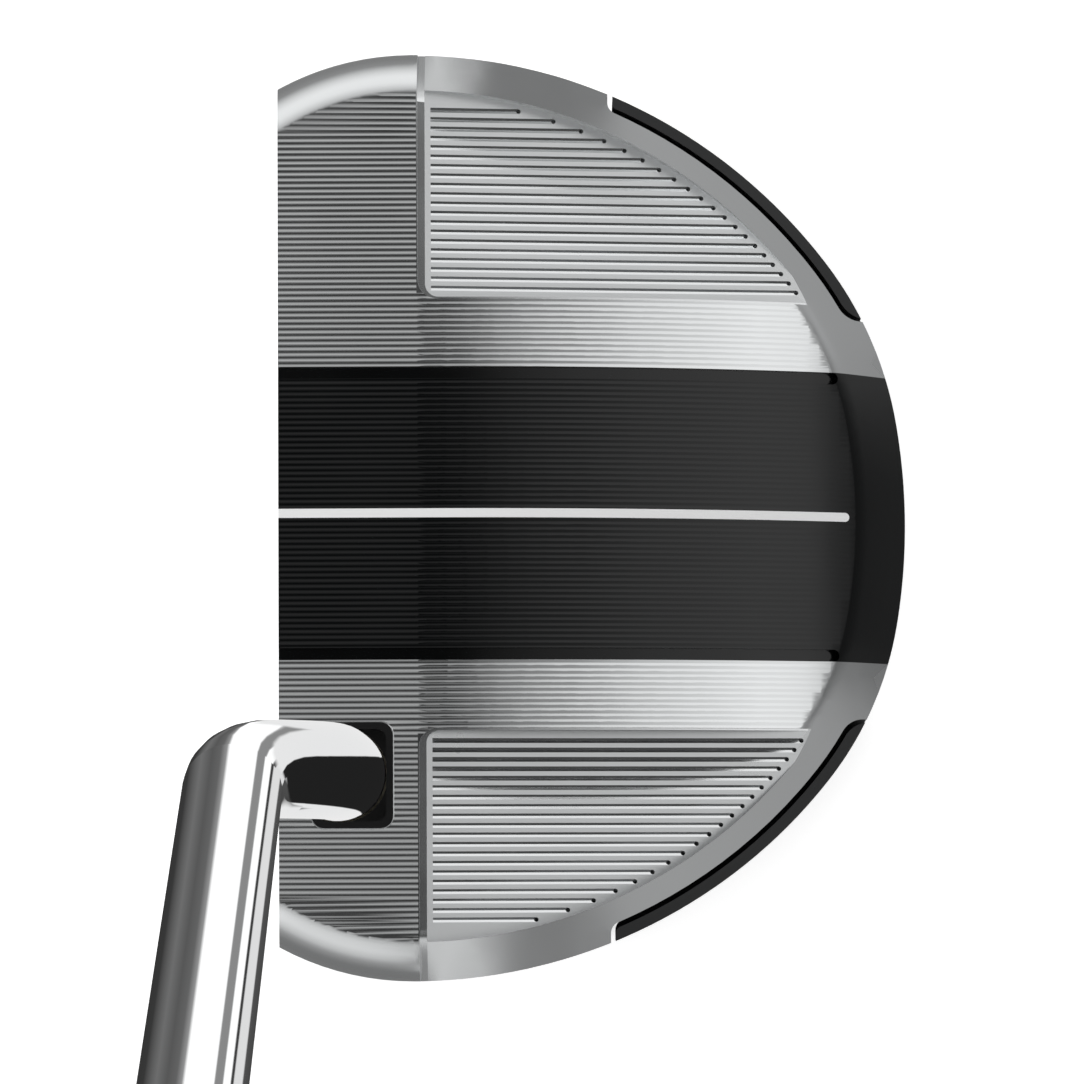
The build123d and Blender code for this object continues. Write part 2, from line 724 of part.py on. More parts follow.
def plate_plan(inset):
    """Plan of the sole plate, moved inwards by inset: narrower at the rear, with round corners."""
    front, rear = PLATE_FRONT_HALF - inset, PLATE_REAR_HALF - inset
    y0, y1 = back(PLATE_FRONT_BACK + inset), back(PLATE_REAR_BACK - inset)
    outline = Polyline((-front, y0), (front, y0), (rear, y1), (-rear, y1), close=True)
    plan = make_face(outline.edges())
    return fillet(plan.vertices(), PLATE_CORNER_R)


def plate_seat():
    """The shallow seat that the sole plate fills."""
    return extrude(plate_plan(0), PLATE_THICK)


def cavity():
    """The space above the sole plate."""
    y0, y1 = back(CAVITY_FRONT_BACK), back(CAVITY_REAR_BACK)
    return block(-CAVITY_HALF, CAVITY_HALF, y0, y1, PLATE_THICK, CAVITY_TOP_Z)


def screw_blank(x, y, socket):
    """A countersunk screw whose head is flush with the outside of the sole plate."""
    head_depth = SCREW_HEAD_R - SCREW_R
    head = Pos(x, y, head_depth / 2) * Cone(SCREW_HEAD_R, SCREW_R, head_depth)
    screw = head + upright(SCREW_R, x, y, 0, SCREW_LENGTH)
    if socket:
        screw -= Pos(x, y, 0) * extrude(RegularPolygon(SCREW_SOCKET_R, 6), SCREW_SOCKET_DEPTH)
    return screw


def screw_places():
    """Where the four screws stand, as pairs of X and Y."""
    return [(side * x, back(distance)) for x, distance in SCREW_PLACES for side in SIDES]


def make_sole_plate():
    """The plate with its four countersunk holes."""
    plate = plate_seat()
    for x, y in screw_places():
        plate -= screw_blank(x, y, socket=False)
    return plate


def make_sole_screws():
    """The four screws as one group."""
    return Compound(children=[screw_blank(x, y, socket=True) for x, y in screw_places()])


def split_cavity(first, last):
    """A slice of the cavity between two shares of its depth from front to rear."""
    y0, y1 = back(CAVITY_FRONT_BACK), back(CAVITY_REAR_BACK)
    run = y1 - y0
    return cavity() & block(-WIDE, WIDE, y0 + first * run, y0 + last * run, 0, TALL)


def weight_seat(side):
    """The port that a sole weight screws into."""
    x, y = side * WEIGHT_X, back(WEIGHT_BACK)
    port = upright(
        WEIGHT_HEAD_R + WEIGHT_CLEARANCE, x, y, -CUT_ABOVE, WEIGHT_HEAD_THICK + SEAL_THICK
    )
    return port + upright(WEIGHT_SHANK_R, x, y, 0, WEIGHT_LENGTH)


def make_weight(side):
    """A sole weight: a flat head with a hexagon socket, and its shank."""
    x, y = side * WEIGHT_X, back(WEIGHT_BACK)
    weight = upright(WEIGHT_HEAD_R, x, y, WEIGHT_SINK, WEIGHT_HEAD_THICK)
    weight = chamfer(weight.edges().group_by(Axis.Z)[0], WEIGHT_CHAMFER)
    weight += upright(WEIGHT_SHANK_R, x, y, WEIGHT_HEAD_THICK, WEIGHT_LENGTH)
    socket = extrude(RegularPolygon(WEIGHT_SOCKET_R, 6), WEIGHT_SOCKET_DEPTH + WEIGHT_SINK)
    return weight - Pos(x, y, 0) * socket


def make_weight_seals():
    """Flat rubber rings between the heads of the weights and their ports."""
    seals = []
    for side in SIDES:
        x, y = side * WEIGHT_X, back(WEIGHT_BACK)
        top = WEIGHT_HEAD_THICK + SEAL_THICK
        ring = upright(WEIGHT_HEAD_R - SEAL_MARGIN, x, y, WEIGHT_HEAD_THICK, top)
        seals.append(ring - upright(WEIGHT_SHANK_R, x, y, WEIGHT_HEAD_THICK, top))
    return Compound(children=seals)


def make_head_body(blank):
    """The milled body, with every seat, pocket and port cut into it."""
    body = (blank - band_region()) + (blank & band_region() & band_bottom(0))
    for side in SIDES:
        for cutter in [pocket_cutter(side), notch_cutter(side)] + strip_pegs(side, 0):
            body -= cutter
        body -= pocket_grooves(side)
    body -= insert_pad(INSERT_THICK + TAPE_THICK, 0)
    body -= socket_bore()
    body -= collar_seat()
    body -= plate_seat()
    body -= cavity()
    for x, y in screw_places():
        body -= upright(SCREW_R, x, y, 0, SCREW_LENGTH)
    for side in SIDES:
        body -= weight_seat(side)
    return body


def build_parts():
    """Every piece by its name."""
    above_ring = ring_cutter()
    blank = head_blank(above_ring)
    return {
        "head_body": make_head_body(blank),
        "centre_band": make_centre_band(blank),
        "centre_band_bond": make_band_bond(blank),
        "alignment_line": make_alignment_line(blank),
        "heel_edge_strip": make_edge_strip(blank, above_ring, HEEL),
        "toe_edge_strip": make_edge_strip(blank, above_ring, TOE),
        "face_insert": make_face_insert(),
        "face_insert_tape": make_face_tape(),
        "shaft_collar": make_shaft_collar(),
        "shaft_bond": make_shaft_bond(),
        "shaft_tube": make_shaft(),
        "shaft_tip_plug": make_tip_plug(),
        "grip_tape": make_grip_tape(),
        "grip_sleeve": make_grip(),
        "grip_end_cap": make_grip_cap(),
        "sole_plate": make_sole_plate(),
        "sole_plate_screws": make_sole_screws(),
        "damping_block": split_cavity(0, DAMPER_SHARE),
        "balance_bar": split_cavity(DAMPER_SHARE, 1),
        "toe_weight": make_weight(TOE),
        "heel_weight": make_weight(HEEL),
        "weight_seals": make_weight_seals(),
    }


os.makedirs("parts", exist_ok=True)
for name, part in build_parts().items():
    export_step(part, f"parts/{name}.step")
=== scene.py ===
from math import cos, pi, radians, sin, tan

import bmesh
import bpy
from mathutils import Matrix, Vector
from mathutils.bvhtree import BVHTree


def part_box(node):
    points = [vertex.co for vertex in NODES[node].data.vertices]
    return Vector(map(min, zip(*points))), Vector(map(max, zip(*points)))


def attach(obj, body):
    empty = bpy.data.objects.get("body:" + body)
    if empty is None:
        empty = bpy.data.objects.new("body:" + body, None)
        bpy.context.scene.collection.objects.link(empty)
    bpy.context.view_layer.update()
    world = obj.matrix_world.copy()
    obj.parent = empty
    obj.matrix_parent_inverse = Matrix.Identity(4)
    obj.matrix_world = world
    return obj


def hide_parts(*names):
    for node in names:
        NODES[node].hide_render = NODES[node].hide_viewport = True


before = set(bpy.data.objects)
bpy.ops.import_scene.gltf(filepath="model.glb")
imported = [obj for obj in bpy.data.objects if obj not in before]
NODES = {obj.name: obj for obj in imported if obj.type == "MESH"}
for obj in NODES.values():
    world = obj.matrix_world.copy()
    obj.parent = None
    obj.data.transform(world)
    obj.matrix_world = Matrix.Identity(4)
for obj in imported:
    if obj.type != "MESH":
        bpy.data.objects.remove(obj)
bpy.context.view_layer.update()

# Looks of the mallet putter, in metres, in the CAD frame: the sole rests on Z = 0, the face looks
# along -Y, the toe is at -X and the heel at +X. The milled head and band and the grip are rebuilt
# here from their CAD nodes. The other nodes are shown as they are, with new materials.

MM = 0.001
HEAD_LOW, HEAD_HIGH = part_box("head_body")
FACE_TOP_Y = -24.0 * MM

# Camera and the point on the head's top that it looks at, measured from the CAD's origin.
CAMERA_HEELWARD = 38.4 * MM
CAMERA_REARWARD = 5.91 * MM
CAMERA_HEIGHT = 752.0 * MM
TARGET_HEELWARD = 2.95 * MM
TARGET_REARWARD = 2.11 * MM
LENS = 244.2
SENSOR = 36.0
CLIP = (0.01, 100.0)
ROLL = -0.23

# Floor, and the corners of a square like it.
SQUARE = ((-1, -1), (1, -1), (1, 1), (-1, 1))
FLOOR_HALF = 40.0
FLOOR_DROP = 0.02 * MM
FLOOR_GLOW = 0.68

# The head's main sizes, as in the CAD.
CROWN_FLAT_BACK = 14.0 * MM
CROWN_R = 80.0 * MM
SEAM_BACK = 13.85 * MM
BRIDGE_HALF = 21.3 * MM
RING_WIDTH = 4.0 * MM
LEDGE_DROP = 0.5 * MM
POCKET_DROP = 2.0 * MM
POCKET_SLOPE = 12.3

# Milled lines in the crown: shallow scallops that run from the face to the rear.
MILL_PITCH = 0.56 * MM
MILL_DEPTH = 0.026 * MM
MILL_STEPS = 4
MILL_SEAM_LAND = 0.1 * MM
CUTTER_ROW = 1.0 * MM
CUTTER_TALL = 4.0 * MM
SMOOTH_ANGLE = 14.0

# How the head's faces are told apart: by the height of their normals and their places.
WALL_NORMAL_Z = 0.3
LEVEL_NORMAL_Z = 0.8
SINK_NORMAL_Z = 0.9
LOW_SHARE = 0.25
WALL_LOW_SHARE = 0.4
WALL_REACH = 0.6 * MM
SINK_START = 0.3 * MM
SINK_END = 2.0 * MM

# Shaft: its lean, and the card that it mirrors, which lies just above the head.
LIE = 70.0
SHAFT_AXIS = Vector((cos(radians(LIE)), 0, sin(radians(LIE))))
CARD_GAP = 2.0 * MM
CARD_HALF = 160.0 * MM

# Grip: the grid of its skin and the pattern that is moulded into it.
GRIP_ROW = 0.5 * MM
GRIP_STEPS = 144
GRIP_END_GAP = 0.02 * MM
GRIP_START_GAP = 0.3 * MM
GRIP_REACH = 50.0 * MM
GRIP_SMOOTH_ANGLE = 40.0
GRIP_END_LAND = 12.0 * MM
GRIP_RING_HALF = 0.8 * MM
GRIP_RING_DEPTH = 0.4 * MM
GRIP_PATTERN_DEPTH = 0.35 * MM
RIB_PITCH = 4.0 * MM
RIB_WIDTH = 1.0 * MM
THUMB_SIDE = 0.55
THUMB_HALF = 0.62
CROSS_PITCH = 3.2 * MM
CROSS_WIDTH = 0.7 * MM
CROSS_TURN = 11.0 * MM

SILVER = (0.80, 0.815, 0.82)


def shader_node(tree, kind, inputs=None, **settings):
    """A new node with its settings, and its inputs set to constants or linked to other sockets."""
    node = tree.nodes.new(kind)
    for name, value in settings.items():
        setattr(node, name, value)
    for name, value in (inputs or {}).items():
        socket = node.inputs[name]
        if isinstance(value, bpy.types.NodeSocket):
            tree.links.new(value, socket)
        else:
            socket.default_value = value
    return node


def calculate(tree, operation, *values):
    """The output of one Math node."""
    inputs = dict(enumerate(values))
    return shader_node(tree, "ShaderNodeMath", inputs, operation=operation).outputs[0]


def rise(tree, value, start, end):
    """0 below start and 1 above end, with a smooth step between them; end may lie below start."""
    flip = end < start
    low, high = min(start, end), max(start, end)
    made = shader_node(
        tree,
        "ShaderNodeMapRange",
        {0: value, 1: low, 2: high, 3: float(flip), 4: float(not flip)},
        interpolation_type="SMOOTHSTEP",
    )
    return made.outputs[0]


def between(tree, value, start, end, soft):
    """1 between start and end, with a soft edge on both sides."""
    up = rise(tree, value, start - soft, start + soft)
    down = rise(tree, value, end + soft, end - soft)
    return calculate(tree, "MULTIPLY", up, down)


# ---------------------------------------------------------------- camera, floor and light


def make_camera():
    """The camera above the head, looking down with the toe at the top of the picture."""
    data = bpy.data.cameras.new("camera")
    data.lens = LENS
    data.sensor_width = SENSOR
    data.clip_start, data.clip_end = CLIP
    camera = bpy.data.objects.new("camera", data)
    bpy.context.scene.collection.objects.link(camera)
    place = Vector((CAMERA_HEELWARD, CAMERA_REARWARD, CAMERA_HEIGHT))
    target = Vector((TARGET_HEELWARD, TARGET_REARWARD, HEAD_HIGH.z))
    away = (place - target).normalized()
    right = Vector((-1, 0, 0)).cross(away).normalized()
    up = away.cross(right)
    turn = Matrix((right, up, away)).transposed() @ Matrix.Rotation(radians(ROLL), 3, "Z")
    camera.matrix_world = Matrix.Translation(place) @ turn.to_4x4()
    bpy.context.scene.camera = camera


def make_floor():
    """A wide pale floor just under the sole. It shines a little, so that it stays plain white."""
    mesh = bpy.data.meshes.new("floor")
    corners = [(x * FLOOR_HALF, y * FLOOR_HALF, -FLOOR_DROP) for x, y in SQUARE]
    mesh.from_pydata(corners, [], [(0, 1, 2, 3)])
    floor = bpy.data.objects.new("floor", mesh)
    bpy.context.scene.collection.objects.link(floor)
    floor.visible_glossy = False
    material = bpy.data.materials.new("floor_paint")
    material.use_nodes = True
    shader = material.node_tree.nodes["Principled BSDF"]
    shader.inputs["Base Color"].default_value = (0.8, 0.8, 0.8, 1)
    shader.inputs["Roughness"].default_value = 1.0
    shader.inputs["Specular IOR Level"].default_value = 0.0
    shader.inputs["Emission Color"].default_value = (1, 1, 1, 1)
    shader.inputs["Emission Strength"].default_value = FLOOR_GLOW
    mesh.materials.append(material)


def profile(tree, value, stops):
    """Piecewise linear curve of value through (value, result) stops, all from -180 to 180."""
    share = calculate(tree, "DIVIDE", calculate(tree, "ADD", value, 180.0), 360.0)
    ramp = shader_node(tree, "ShaderNodeValToRGB", {0: share})
    elements = ramp.color_ramp.elements
    while len(elements) < len(stops):
        elements.new(0.5)
    for element, (place, result) in zip(elements, stops):
        element.position = (place + 180.0) / 360.0
        element.color = (result, result, result, 1)
    return ramp.outputs[0]


def degrees_of(tree, angle):
    """An angle in degrees."""
    return calculate(tree, "MULTIPLY", angle, 180.0 / pi)


def blend(tree, share, first, second):
    """First where share is 0, second where it is 1."""
    change = calculate(tree, "SUBTRACT", second, first)
    return calculate(tree, "MULTIPLY_ADD", share, change, first)


# Light of the studio along lines from the zenith down: (angle from the zenith, light). The
# dark spot at the zenith is the camera's side of the room. The first two are the rear box, over the
# toe's half of the crown and over the heel's half.
REAR_TOE = (
    (0, 0.03), (5, 0.05), (10, 0.24), (16, 0.52), (23, 0.76), (33, 0.88), (52, 1.0), (61, 0.95),
    (66, 0.42), (72, 0.34), (100, 0.4), (130, 0.3),
)
REAR_HEEL = (
    (0, 0.02), (5, 0.035), (10, 0.16), (16, 0.25), (23, 0.31), (33, 0.57), (52, 0.88), (61, 0.86),
    (66, 0.36), (72, 0.3), (100, 0.38), (130, 0.3),
)
# Box beside the toe, and the gap between it and the rear box, which only the ring's front sees.
TOE_SIDE = (
    (0, 0.03), (6, 0.05), (10, 0.22), (14, 0.36), (20, 0.5), (28, 0.72), (40, 0.96), (60, 1.0),
    (79, 0.74), (89, 0.5), (98, 0.3), (125, 0.24),
)
TOE_REAR = (
    (0, 0.04), (5, 0.06), (10, 0.28), (14, 0.42), (22, 0.6), (36, 0.95), (78, 0.98), (86, 0.2),
    (110, 0.22),
)
# Dark wall behind the heel, with a box before it.
HEEL_REAR = (
    (0, 0.03), (5, 0.05), (10, 0.2), (16, 0.3), (24, 0.2), (36, 0.06), (80, 0.06), (90, 0.24),
    (120, 0.25),
)
HEEL_FRONT = (
    (0, 0.02), (6, 0.035), (10, 0.24), (14, 0.42), (20, 0.6), (28, 0.76), (48, 0.8), (60, 0.66),
    (71, 0.5), (80, 0.34), (90, 0.27), (103, 0.2),
)
HEEL_RING = (
    (0, 0.03), (5, 0.05), (10, 0.2), (16, 0.3), (24, 0.2), (36, 0.06), (72, 0.06), (82, 0.68),
    (98, 0.68), (106, 0.22),
)
# Large light in front of the face. The crown hardly mirrors it, but it fills the paint.
FRONT = ((0, 0.04), (10, 0.06), (24, 0.25), (38, 1.6), (80, 2.3), (92, 0.3), (120, 0.2))

# Where each box lies round the club, as (start, end, softness) or (start, end) of its turn, which is
# 0 at the toe, 90 at the rear and 180 at the heel.
BEHIND_TURN = (79, 101, 6)
TOE_REAR_TURN = (-10, 31, 4)
TOE_SIDE_TURN = (-80, 8, 3)
LOW_BOX_TURN = (0, 8, 3)
HEEL_REAR_TURN = (142, 153)
HEEL_RING_TURN = (160, 175)
HEEL_FRONT_TURN = (-80, -100)
FRONT_TURN = (-135, -75, 10)
# Heelward part of a direction where the rear box changes from the toe's half to the heel's half.
REAR_CHANGE = (-0.08, -0.025)
# Low dark gap behind the head, and a small low box that only the front of the toe's ring mirrors.
BEHIND_TILT = (70, 84)
BEHIND_LIGHT = 0.12
LOW_BOX_TILT = (82, 98, 4)
LOW_BOX_LIGHT = 0.8
PLAIN = (0.93, 0.93, 0.93, 1)


def make_world():
    """A soft studio: bright boxes at the toe, rear and front, a dark heel side and a grey ground."""
    world = bpy.data.worlds.new("studio")
    bpy.context.scene.world = world
    world.use_nodes = True
    tree = world.node_tree
    tree.nodes.clear()
    direction = shader_node(tree, "ShaderNodeTexCoord").outputs["Generated"]
    split = shader_node(tree, "ShaderNodeSeparateXYZ", {0: direction})
    x, y, z = split.outputs
    toeward = calculate(tree, "MULTIPLY", x, -1.0)
    tilt = degrees_of(tree, calculate(tree, "ARCCOSINE", z))
    turn = degrees_of(tree, calculate(tree, "ARCTAN2", y, toeward))

    heelward = rise(tree, x, *REAR_CHANGE)
    light = blend(tree, heelward, profile(tree, tilt, REAR_TOE), profile(tree, tilt, REAR_HEEL))
    behind = between(tree, turn, *BEHIND_TURN)
    behind = calculate(tree, "MULTIPLY", behind, rise(tree, tilt, *BEHIND_TILT))
    light = blend(tree, behind, light, BEHIND_LIGHT)
    toe_rear = between(tree, turn, *TOE_REAR_TURN)
    light = blend(tree, toe_rear, light, profile(tree, tilt, TOE_REAR))
    toe_side = between(tree, turn, *TOE_SIDE_TURN)
    light = blend(tree, toe_side, light, profile(tree, tilt, TOE_SIDE))
    beside_toe = between(tree, turn, *LOW_BOX_TURN)
    low_box = calculate(tree, "MULTIPLY", beside_toe, between(tree, tilt, *LOW_BOX_TILT))
    light = blend(tree, low_box, light, LOW_BOX_LIGHT)
    heel_rear = rise(tree, turn, *HEEL_REAR_TURN)
    light = blend(tree, heel_rear, light, profile(tree, tilt, HEEL_REAR))
    heel_ring = rise(tree, turn, *HEEL_RING_TURN)
    light = blend(tree, heel_ring, light, profile(tree, tilt, HEEL_RING))
    heel_front = rise(tree, turn, *HEEL_FRONT_TURN)
    light = blend(tree, heel_front, light, profile(tree, tilt, HEEL_FRONT))
    front = between(tree, turn, *FRONT_TURN)
    light = blend(tree, front, light, profile(tree, tilt, FRONT))

    colour = shader_node(tree, "ShaderNodeCombineColor", {0: light, 1: light, 2: light})
    studio = shader_node(tree, "ShaderNodeBackground", {"Color": colour.outputs[0]})
    plain = shader_node(tree, "ShaderNodeBackground", {"Color": PLAIN})
    seen = shader_node(tree, "ShaderNodeLightPath").outputs["Is Camera Ray"]
    mixed = shader_node(
        tree, "ShaderNodeMixShader", {0: seen, 1: studio.outputs[0], 2: plain.outputs[0]}
    )
    shader_node(tree, "ShaderNodeOutputWorld", {"Surface": mixed.outputs[0]})


# Light that the chrome shaft mirrors: (angle round the shaft's axis from the toe's side, light).
SHAFT_STRIPS = (
    (-180, 0.03), (-110, 0.04), (-70, 0.16), (-45, 0.1), (-26, 0.13), (-14, 0.3), (-8, 1.1),
    (49, 1.1), (51, 0.26), (68, 0.26), (70, 1.1), (86, 1.1), (88, 0.04), (94, 0.04), (96, 0.75),
    (122, 0.75), (126, 0.08), (180, 0.05),
)
# What the bend above the socket mirrors instead, all round its leg: white with a dark wedge. Its
# rays are short, or run to the rear at more than BEND_RUN of their length.
BEND_WHITE = 0.84
BEND_DARK = 0.015
BEND_WEDGE = (31, 110)
BEND_REACH = 36.0 * MM
BEND_RUN = 0.45
BEND_SOFT = 3.0 * MM


def strip_light(tree, along, rearward):
    """Light of the card for the straight shaft: strips that run out from the shaft's axis."""
    toeward = calculate(tree, "MULTIPLY", along, -SHAFT_AXIS.z)
    around = degrees_of(tree, calculate(tree, "ARCTAN2", rearward, toeward))
    return profile(tree, around, SHAFT_STRIPS)


def bend_light(tree, along, rearward, foot):
    """Light of the card for the bend: white, with a dark wedge from the leg in the socket."""
    leg_low, leg_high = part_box("shaft_tip_plug")
    leg = (leg_low + leg_high) / 2 - foot
    from_leg_x = calculate(tree, "SUBTRACT", along, leg.x)
    from_leg_y = calculate(tree, "SUBTRACT", rearward, leg.y)
    round_leg = degrees_of(tree, calculate(tree, "ARCTAN2", from_leg_y, from_leg_x))
    wedge = between(tree, round_leg, *BEND_WEDGE, 1)
    return blend(tree, wedge, BEND_WHITE, BEND_DARK)


def is_from_bend(tree, rearward, length):
    """1 for the rays that come from the bend, 0 for those from the straight shaft."""
    short = rise(tree, length, BEND_REACH, BEND_REACH - BEND_SOFT)
    short = calculate(tree, "MULTIPLY", short, rise(tree, rearward, 0.0, BEND_SOFT))
    run = calculate(tree, "MULTIPLY_ADD", length, -BEND_RUN, rearward)
    return calculate(tree, "MAXIMUM", short, rise(tree, run, 0.0, BEND_SOFT))


def make_shaft_card():
    """A card above the head that only the shaft mirrors: it shines upwards and is clear from below
    and in the mirror image of a mirror image."""
    grip_low, grip_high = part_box("grip_tape")
    middle = (grip_low + grip_high) / 2
    height = HEAD_HIGH.z + CARD_GAP
    foot = middle + SHAFT_AXIS * ((height - middle.z) / SHAFT_AXIS.z)
    mesh = bpy.data.meshes.new("shaft_card")
    corners = [(x * CARD_HALF, y * CARD_HALF, 0) for x, y in SQUARE]
    mesh.from_pydata(corners, [], [(0, 1, 2, 3)])
    card = bpy.data.objects.new("shaft_card", mesh)
    card.location = foot
    bpy.context.scene.collection.objects.link(card)
    card.visible_camera = False
    card.visible_diffuse = False
    card.visible_shadow = False
    card.visible_transmission = False
    material = bpy.data.materials.new("shaft_card")
    material.use_nodes = True
    tree = material.node_tree
    tree.nodes.clear()
    place = shader_node(tree, "ShaderNodeTexCoord").outputs["Object"]
    split = shader_node(tree, "ShaderNodeSeparateXYZ", {0: place})
    along, rearward = split.outputs[0], split.outputs[1]
    strips = strip_light(tree, along, rearward)
    bend = bend_light(tree, along, rearward, foot)
    path = shader_node(tree, "ShaderNodeLightPath").outputs
    shown = blend(tree, is_from_bend(tree, rearward, path["Ray Length"]), strips, bend)
    light = shader_node(tree, "ShaderNodeEmission", {"Color": shown})
    clear = shader_node(tree, "ShaderNodeBsdfTransparent")
    below = shader_node(tree, "ShaderNodeNewGeometry").outputs["Backfacing"]
    twice = calculate(tree, "GREATER_THAN", path["Ray Depth"], 1.5)
    hidden = calculate(tree, "MAXIMUM", below, twice)
    mixed = shader_node(
        tree, "ShaderNodeMixShader", {0: hidden, 1: light.outputs[0], 2: clear.outputs[0]}
    )
    shader_node(tree, "ShaderNodeOutputMaterial", {"Surface": mixed.outputs[0]})
    mesh.materials.append(material)


# ---------------------------------------------------------------- materials


def principled(name, colour, roughness, metallic=0.0):
    """A new material with its node tree and its shader."""
    material = bpy.data.materials.new(name)
    material.use_nodes = True
    shader = material.node_tree.nodes["Principled BSDF"]
    shader.inputs["Base Color"].default_value = (*colour, 1)
    shader.inputs["Roughness"].default_value = roughness
    shader.inputs["Metallic"].default_value = metallic
    return material, material.node_tree, shader


def stretched(tree, size):
    """Object coordinates divided by size, one length for each axis, for noise of that grain."""
    coordinates = shader_node(tree, "ShaderNodeTexCoord").outputs["Object"]
    scale = tuple(1 / length for length in size)
    mapping = shader_node(tree, "ShaderNodeMapping", {"Vector": coordinates, "Scale": scale})
    return mapping.outputs[0]


def noise(tree, size, detail=2.0, roughness=0.5):
    """Noise whose grains have this size along each axis."""
    vector = stretched(tree, size)
    made = shader_node(
        tree,
        "ShaderNodeTexNoise",
        {"Vector": vector, "Scale": 1.0, "Detail": detail, "Roughness": roughness},
    )
    return made.outputs["Fac"]


def vary(tree, value, low, high):
    """Value, which runs from about 0.3 to 0.7 in noise, spread from low to high."""
    made = shader_node(tree, "ShaderNodeMapRange", {0: value, 1: 0.3, 2: 0.7, 3: low, 4: high})
    return made.outputs[0]


def bump(tree, height, distance):
    """A normal bent by the height's slope, with grains up to distance high."""
    inputs = {"Height": height, "Distance": distance, "Strength": 1.0}
    return shader_node(tree, "ShaderNodeBump", inputs).outputs[0]


def silver(name, roughness, spread, grain_size, grain_height):
    """Aluminium whose grain and roughness vary over small patches."""
    material, tree, shader = principled(name, SILVER, roughness, 1.0)
    cloud = noise(tree, (9 * MM, 9 * MM, 9 * MM), 3.0)
    uneven = vary(tree, cloud, roughness - spread, roughness + spread)
    tree.links.new(uneven, shader.inputs["Roughness"])
    grain = noise(tree, grain_size, 3.0, 0.6)
    tree.links.new(bump(tree, grain, grain_height), shader.inputs["Normal"])
    return material


def make_materials():
    """Every finish by its name, and a dark grey that is painted shade."""
    tiny = 0.12 * MM
    made = {
        "milled": silver("milled_silver", 0.12, 0.02, (0.05 * MM, 6 * MM, 0.05 * MM), 0.0004 * MM),
        "blasted": silver("blasted_silver", 0.3, 0.03, (tiny, tiny, tiny), 0.006 * MM),
        "groove": silver("groove_silver", 0.16, 0.03, (tiny, tiny, tiny), 0.002 * MM),
        "ring": silver("ring_silver", 0.2, 0.02, (0.2 * MM, 0.2 * MM, 0.2 * MM), 0.001 * MM),
        "side": silver("side_silver", 0.3, 0.04, (4 * MM, 4 * MM, 0.05 * MM), 0.002 * MM),
        # Painted shade: the same silver made dark grey below, for the pockets' upright walls and the
        # sinks' bottoms.
        "painted_shade": silver("pocket_wall_painted_shade", 0.4, 0.04, (0.3 * MM, 0.3 * MM, 0.3 * MM), 0.002 * MM),
        "plate": silver("brushed_plate", 0.3, 0.05, (8 * MM, 0.05 * MM, 4 * MM), 0.003 * MM),
        "steel": silver("weight_steel", 0.25, 0.04, (0.3 * MM, 0.3 * MM, 0.3 * MM), 0.002 * MM),
        "insert": silver("face_metal", 0.35, 0.04, (0.1 * MM, 0.1 * MM, 0.1 * MM), 0.003 * MM),
    }
    # The insert is a darker metal. The pockets' upright walls and the sinks' bottoms get a dark grey
    # that is painted shade, the shade that falls in these recesses.
    for name, grey in (("insert", 0.34), ("painted_shade", 0.16)):
        shader = made[name].node_tree.nodes["Principled BSDF"]
        shader.inputs["Base Color"].default_value = (grey, grey * 1.02, grey * 1.04, 1)
    black = (0.0012, 0.0016, 0.0018)
    made["anodised"] = make_black("black_anodised", black, 0.13, 0.1 * MM, 0.0004 * MM)
    made["rubber"] = make_black("black_rubber", (0.012, 0.0125, 0.013), 0.5, 0.15 * MM)
    made["polymer"] = make_black("black_polymer", (0.0015, 0.0016, 0.0018), 0.3, 0.2 * MM)
    made["grip"] = make_black("grip_rubber", (0.014, 0.0145, 0.015), 0.6, 0.25 * MM)
    made["cap"] = make_black("cap_rubber", (0.011, 0.011, 0.0115), 0.45, 0.3 * MM)
    made["screw"] = make_black("black_screws", (0.02, 0.02, 0.021), 0.32, 0.2 * MM)
    made["damper"] = make_black("damper", (0.03, 0.03, 0.034), 0.7, 0.4 * MM)
    made["paint"] = make_paint()
    made["chrome"] = make_chrome()
    made["bond"] = make_film("bond_film", (0.55, 0.5, 0.38))
    made["tape"] = make_film("tape", (0.72, 0.68, 0.58))
    return made


def make_black(name, colour, roughness, grain, height=0.004 * MM):
    """A black skin with a fine grain and slightly uneven gloss."""
    material, tree, shader = principled(name, colour, roughness)
    cloud = noise(tree, (12 * MM, 12 * MM, 12 * MM), 3.0)
    uneven = vary(tree, cloud, roughness - 0.03, roughness + 0.03)
    tree.links.new(uneven, shader.inputs["Roughness"])
    fine = noise(tree, (grain, grain, grain), 2.0)
    tree.links.new(bump(tree, fine, height), shader.inputs["Normal"])
    return material


def make_paint():
    """White enamel in the alignment groove, a little uneven where it was wiped flush."""
    material, tree, shader = principled("white_paint", (0.97, 0.975, 0.975), 0.35)
    fine = noise(tree, (0.3 * MM, 1.5 * MM, 0.3 * MM), 2.0)
    tree.links.new(bump(tree, fine, 0.01 * MM), shader.inputs["Normal"])
    tree.links.new(vary(tree, fine, 0.3, 0.45), shader.inputs["Roughness"])
    return material


def make_chrome():
    """Polished chrome plate with faint cloudy haze."""
    material, tree, shader = principled("chrome_steel", (0.93, 0.935, 0.94), 0.04, 1.0)
    cloud = noise(tree, (15 * MM, 15 * MM, 25 * MM), 4.0)
    tree.links.new(vary(tree, cloud, 0.03, 0.06), shader.inputs["Roughness"])
    return material


def make_film(name, colour):
    """Glue or tape, matt and a little uneven."""
    material, tree, shader = principled(name, colour, 0.5)
    fine = noise(tree, (0.5 * MM, 0.5 * MM, 0.5 * MM), 2.0)
    tree.links.new(bump(tree, fine, 0.01 * MM), shader.inputs["Normal"])
    tree.links.new(vary(tree, fine, 0.4, 0.6), shader.inputs["Roughness"])
    return material


# ---------------------------------------------------------------- milled crown


